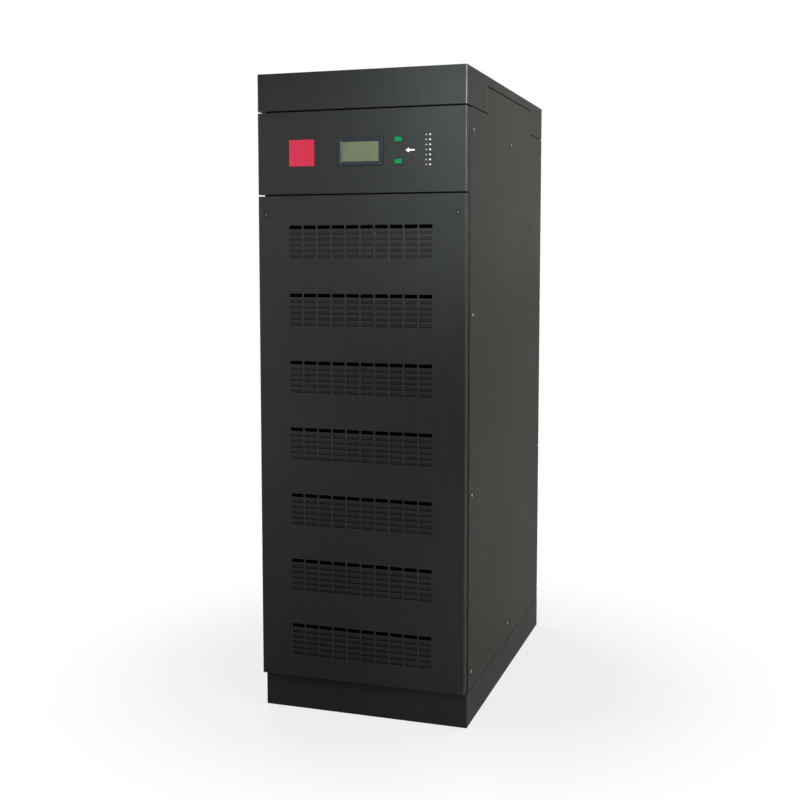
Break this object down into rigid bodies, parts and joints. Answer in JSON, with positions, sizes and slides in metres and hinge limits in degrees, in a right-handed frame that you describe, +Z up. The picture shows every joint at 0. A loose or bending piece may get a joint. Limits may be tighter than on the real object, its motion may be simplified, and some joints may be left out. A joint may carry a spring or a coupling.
{
  "type": "modular ups cabinet",
  "caption": "Tall free-standing power cabinet of folded sheet metal with a louvred front panel, a control panel with a display and push keys, a top hood and a plinth.",
  "frame": {"origin": "floor level under the middle of the cabinet", "axes": "+Z up, front faces -Y, +X to the right as seen from the front"},
  "size_m": [0.6, 1.004, 1.8],
  "materials": {
    "panel_coat": "fine-textured dark grey powder coat",
    "plinth_coat": "matt dark grey powder coat",
    "frame_coat": "matt black powder coat",
    "bezel_plastic": "moulded, fine texture",
    "screen": "unlit olive liquid-crystal screen behind a clear cover",
    "key_plastic": "moulded green, smooth",
    "guide_plastic": "moulded black",
    "light_plastic": "moulded, milky clear, unlit"
  },
  "bodies": {
    "cabinet": {"control_panel": "panel_coat", "display_bezel": "bezel_plastic", "display_screen": "screen", "floor_plate": "frame_coat", "indicator_lights": "light_plastic", "key_guide": "guide_plastic", "plinth_front": "plinth_coat", "plinth_left": "plinth_coat", "plinth_rear": "plinth_coat", "plinth_right": "plinth_coat", "post_front_left": "frame_coat", "post_front_right": "frame_coat", "post_rear_left": "frame_coat", "post_rear_right": "frame_coat", "rail_front_lower": "frame_coat", "rail_front_middle": "frame_coat", "rail_front_upper": "frame_coat", "rail_rear_lower": "frame_coat", "rail_rear_upper": "frame_coat", "rail_top_left": "frame_coat", "rail_top_right": "frame_coat", "rear_panel": "panel_coat", "side_panel_left": "panel_coat", "side_panel_right": "panel_coat", "top_hood": "panel_coat", "vent_panel": "panel_coat"},
    "key_upper": {"key_upper": "key_plastic"},
    "key_lower": {"key_lower": "key_plastic"}
  },
  "joints": [
    {"name": "key_upper_press", "type": "slide", "parent": "cabinet", "child": "key_upper", "axis": [0, 1, 0], "range_m": [0, 0.0025], "stiffness_N_per_m": 300, "springref_m": -0.004},
    {"name": "key_lower_press", "type": "slide", "parent": "cabinet", "child": "key_lower", "axis": [0, 1, 0], "range_m": [0, 0.0025], "stiffness_N_per_m": 300, "springref_m": -0.004}
  ]
}
